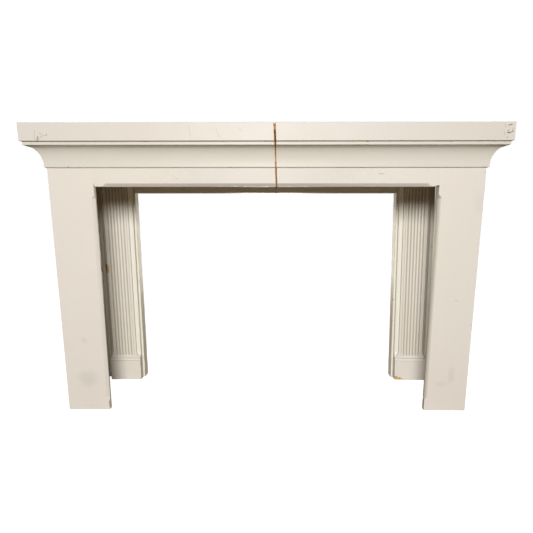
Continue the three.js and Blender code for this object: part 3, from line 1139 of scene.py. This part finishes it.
def end_run(name, outline, sign, paint):
    """The return from the mitred corner to the wall."""
    return moulded(name, outline, {
        "Stations": round((wall - frame_front) / STATION_STEP), "Start": frame_front + MITRE_GAP,
        "Start mitre": -1.0, "End": wall, "End lean": 0.0, "Along": (0, 1, 0),
        "Outward": (float(sign), 0, 0), "Origin": (sign * frame_outer, 0, 0), "Saw tear": 0.0,
    }, paint)


top_fillet = frame_front - cove_low.y - TOP_FILLET_SET_BACK
cove_back = frame_front - cove_high.y
cavetto_end = top_fillet - TOP_FILLET_SOFFIT
cavetto_foot = cove_low.z + BED_FILLET_HEIGHT
cavetto_top = cavetto_foot + CAVETTO_RISE
cavetto = []
for step in range(CAVETTO_STEPS + 1):
    turn = math.pi / 2 * step / CAVETTO_STEPS
    cavetto.append((
        cavetto_end - (cavetto_end - BED_FILLET_PROJECTION) * math.cos(turn),
        cavetto_foot + CAVETTO_RISE * math.sin(turn),
    ))
bed_low = cove_low.z - BED_DROP
cove_corners = [
    (cove_back, cove_high.z), (cove_back, bed_low), (BED_QUIRK_BACK, bed_low),
    (BED_QUIRK_BACK, bed_low + BED_QUIRK), (BED_FILLET_PROJECTION, bed_low + BED_QUIRK),
]
cove_corners += cavetto + [(top_fillet, cavetto_top), (top_fillet, cove_high.z)]
cove_radii = [END_EASE, 0, 0, 0, BED_EASE] + [0] * len(cavetto) + [TOP_EASE, END_EASE]
cove_divisions = [6, 0, 0, 0, 0] + [0] * len(cavetto) + [0, 4]
cove_outline = eased_outline(cove_corners, cove_radii, cove_divisions)

cornice_white = {
    "paint": (0.570, 0.540, 0.482), "yellowed": (0.548, 0.508, 0.432), "grime_share": 0.05,
}
front_cornice_paint = painted_pine("front_cornice_paint", brushed_along=0, **cornice_white)
end_cornice_paint = painted_pine("end_cornice_paint", brushed_along=1, **cornice_white)

for side, sign in SIDES:
    cove = front_run(f"cornice_cove_front_{side}", cove_outline, sign, front_cornice_paint)
    wear(cove.data, seed=71 + sign, chips=10, reach=0.006, depth=0.0012)
    lay_bare(cove.data, at_the_cut(sign))
    close_behind(cove.data, sign, cove_low.y, COVE_CLOSES_OVER)
    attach(cove, "root")
    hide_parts(f"cove_front_{side}")

    cove = end_run(f"cornice_cove_end_{side}", cove_outline, sign, end_cornice_paint)
    wear(cove.data, seed=81 + sign, chips=8, reach=0.006, depth=0.0012)
    lay_bare(cove.data, backs)
    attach(cove, "root")
    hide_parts(f"cove_end_{side}")

# ---- Shelf edge
# A deep plain fascia stands on the moulding and hides the ends of the shelf boards. It is
# mitred at the corners, an open joint shows under it, and it has taken the most knocks.

FASCIA_QUIRK = 0.0032
FASCIA_QUIRK_DEPTH = 0.011
FASCIA_CLOSES_OVER = 0.060
FASCIA_LOW_EASE, FASCIA_TOP_EASE = 0.0013, 0.0016

fascia_low, fascia_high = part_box("fascia_front_right")
fascia_out = frame_front - fascia_low.y
fascia_back = frame_front - fascia_high.y
quirk_top = fascia_low.z + FASCIA_QUIRK
fascia_outline = eased_outline(
    [
        (fascia_back, fascia_low.z), (fascia_out - FASCIA_QUIRK_DEPTH, fascia_low.z),
        (fascia_out - FASCIA_QUIRK_DEPTH, quirk_top), (fascia_out, quirk_top),
        (fascia_out, fascia_high.z), (fascia_back, fascia_high.z),
    ],
    [END_EASE, 0, 0, FASCIA_LOW_EASE, FASCIA_TOP_EASE, END_EASE],
    divisions=[0, 0, 0, 4, 2, 4],
)
fascia_white = {
    "paint": (0.595, 0.556, 0.503), "yellowed": (0.573, 0.527, 0.458), "grime_share": 0.06,
}
fascia_end_paint = painted_pine("fascia_end_paint", brushed_along=1, **fascia_white)
fascia_paint = painted_pine(
    "fascia_paint", brushed_along=0, **fascia_white,
    lines=on_face(fascia_low.y, [
        (-0.8428, 1.0880, -0.8440, 1.0990, 0.0018, 1.0),
        (-0.8440, 1.0990, -0.8400, 1.1085, 0.0017, 1.0),
        (-0.8400, 1.0960, -0.8350, 1.1040, 0.0014, 0.9),
        (-0.8290, 1.1040, -0.8230, 1.1125, 0.0014, 0.75),
        (-0.8330, 1.1190, -0.8280, 1.1160, 0.0014, 0.75),
        (-0.8180, 1.1100, -0.8060, 1.1130, 0.0013, 0.55),
        (-0.8067, 1.1172, -0.8074, 1.1102, 0.0013, 0.60),
        (-0.8500, 1.1300, -0.8540, 1.0950, 0.0010, 0.45),
        (-0.2822, 1.1443, -0.2762, 1.1060, 0.0009, 0.50),
        (-0.1835, 1.1372, -0.1695, 1.1059, 0.0009, 0.50),
        (-0.0992, 1.1371, -0.0847, 1.1266, 0.0009, 0.50),
        (0.8714, 1.1494, 0.8760, 1.1380, 0.0010, 0.60),
        (0.8710, 1.1250, 0.8752, 1.1114, 0.0010, 0.55),
        (0.8870, 1.1440, 0.8975, 1.1475, 0.0024, 1.0),
        (0.8880, 1.1287, 0.8850, 1.1215, 0.0018, 0.90),
        (0.8850, 1.1190, 0.8940, 1.1180, 0.0026, 1.0),
        (0.8940, 1.1190, 0.9045, 1.1235, 0.0020, 0.95),
        (0.9045, 1.1235, 0.9020, 1.1330, 0.0016, 0.70),
        (0.8850, 1.1035, 0.8856, 1.1018, 0.0020, 0.90),
    ]),
)

for side, sign in SIDES:
    fascia = front_run(f"shelf_edge_front_{side}", fascia_outline, sign, fascia_paint)
    wear(fascia.data, seed=91 + sign, chips=14, reach=0.007, depth=0.0014)
    lay_bare(fascia.data, at_the_cut(sign))
    close_behind(fascia.data, sign, fascia_low.y, FASCIA_CLOSES_OVER)
    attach(fascia, "root")
    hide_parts(f"fascia_front_{side}")

    fascia = end_run(f"shelf_edge_end_{side}", fascia_outline, sign, fascia_end_paint)
    wear(fascia.data, seed=101 + sign, chips=16, reach=0.008, depth=0.0016)
    lay_bare(fascia.data, backs)
    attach(fascia, "root")
    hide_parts(f"fascia_end_{side}")

# ---- Shelf
# One wide board, sawn in two with the rest, lies on the carcass inside the fascia, flush with
# its top. It is painted like the front and scuffed by what has stood on it.

shelf_low, shelf_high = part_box("shelf_right")
shelf_paint = painted_pine(
    "shelf_paint", brushed_along=0, paint=(0.63, 0.585, 0.52), yellowed=(0.59, 0.53, 0.44),
    grime_share=0.16,
)

for side, sign in SIDES:
    outline = eased_outline(
        rectangle((shelf_low.y, shelf_low.z), (shelf_high.y, shelf_high.z)),
        [END_EASE] * 4,
        divisions=[14, 2, 14, 2],
    )
    mesh = sawn_run(f"shelf_{side}_board", sign, sign * shelf_high.x, lambda run: outline)
    wear(mesh, seed=111 + sign, chips=20, reach=0.008, depth=0.0012)
    lay_bare(mesh, at_the_cut(sign))
    close_behind(mesh, sign)
    shelf = new_piece(f"painted_shelf_{side}", mesh, shelf_paint)
    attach(shelf, "root")
    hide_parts(f"shelf_{side}")

# ---- Floor, light and camera
# A plain pale floor, one soft lamp ahead and above, a weak panel behind, a warm fill all round,
# and the camera where the photograph was taken from.

FLOOR_REACH = 40.0
KEY_PLACE = (-0.06, -2.38, 1.55)
KEY_RADIUS = 0.38
KEY_POWER = 49.8
ROOM_PLACE = (0.0, 2.60, 0.50)
ROOM_SIZE = 0.80
ROOM_POWER = 3.7
ROOM_COLOUR = (1.0, 0.94, 0.82)
FILL_COLOUR = (1.0, 0.83, 0.52)
FILL_STRENGTH = 0.068
CAMERA_PLACE = (0.0299, -1.8387, 0.8041)
CAMERA_PITCH = math.radians(10.338)
CAMERA_YAW = math.radians(0.4)
LENS, SENSOR = 27.813, 36.0
SHIFT_X, SHIFT_Y = -0.0079, 0.0539

floor_mesh = bpy.data.meshes.new("floor_sheet")
corners = [(x * FLOOR_REACH, y * FLOOR_REACH, 0) for x, y in ((-1, -1), (1, -1), (1, 1), (-1, 1))]
floor_mesh.from_pydata(corners, [], [(0, 1, 2, 3)])
floor_paint = bpy.data.materials.new("pale_floor")
floor_paint.use_nodes = True
tree = floor_paint.node_tree
tree.nodes.clear()
seen = add_node(tree, "ShaderNodeLightPath").outputs["Is Camera Ray"]
matt = add_node(tree, "ShaderNodeBsdfDiffuse", {"Color": (0.30, 0.26, 0.20, 1)})
bright = add_node(tree, "ShaderNodeBsdfDiffuse", {"Color": (0.30, 0.30, 0.295, 1)})
lift = add_node(tree, "ShaderNodeEmission", {"Color": (1, 1, 1, 1), "Strength": 1.0})
shown = add_node(tree, "ShaderNodeAddShader", {0: bright.outputs[0], 1: lift.outputs[0]})
either = add_node(tree, "ShaderNodeMixShader", {0: seen, 1: matt.outputs[0], 2: shown.outputs[0]})
add_node(tree, "ShaderNodeOutputMaterial", {"Surface": either.outputs[0]})
floor = new_piece("pale_floor", floor_mesh, floor_paint)

world = bpy.data.worlds.new("studio")
bpy.context.scene.world = world
world.use_nodes = True
tree = world.node_tree
tree.nodes.clear()
seen = add_node(tree, "ShaderNodeLightPath").outputs["Is Camera Ray"]
fill = add_node(tree, "ShaderNodeBackground", {
    "Color": (*FILL_COLOUR, 1), "Strength": FILL_STRENGTH,
})
backdrop = add_node(tree, "ShaderNodeBackground", {"Color": (1, 1, 1, 1), "Strength": 1.0})
either = add_node(tree, "ShaderNodeMixShader", {
    0: seen, 1: fill.outputs[0], 2: backdrop.outputs[0],
})
add_node(tree, "ShaderNodeOutputWorld", {"Surface": either.outputs[0]})


def soft_light(name, kind, place, reach, power):
    """A soft lamp, a globe or a panel, whose light stays even over the depth of the room."""
    light = bpy.data.lights.new(name, kind)
    if kind == "AREA":
        light.size = reach
    else:
        light.shadow_soft_size = reach
    light.energy = power
    light.use_nodes = True
    glow = light.node_tree.nodes["Emission"]
    even = add_node(light.node_tree, "ShaderNodeLightFalloff", {"Strength": 1.0})
    light.node_tree.links.new(even.outputs["Constant"], glow.inputs["Strength"])
    lamp = new_piece(name, light)
    lamp.location = place
    return lamp


soft_light("key", "POINT", KEY_PLACE, KEY_RADIUS, KEY_POWER)
room = soft_light("room", "AREA", ROOM_PLACE, ROOM_SIZE, ROOM_POWER)
room.data.color = ROOM_COLOUR
room.rotation_euler = (math.radians(-90), 0, 0)

lens = bpy.data.cameras.new("camera")
lens.lens, lens.sensor_width = LENS, SENSOR
lens.shift_x, lens.shift_y = SHIFT_X, SHIFT_Y
camera = new_piece("camera", lens)
camera.location = CAMERA_PLACE
camera.rotation_euler = (math.pi / 2 - CAMERA_PITCH, 0, CAMERA_YAW)
bpy.context.scene.camera = camera
bpy.context.scene.view_settings.view_transform = "Standard"
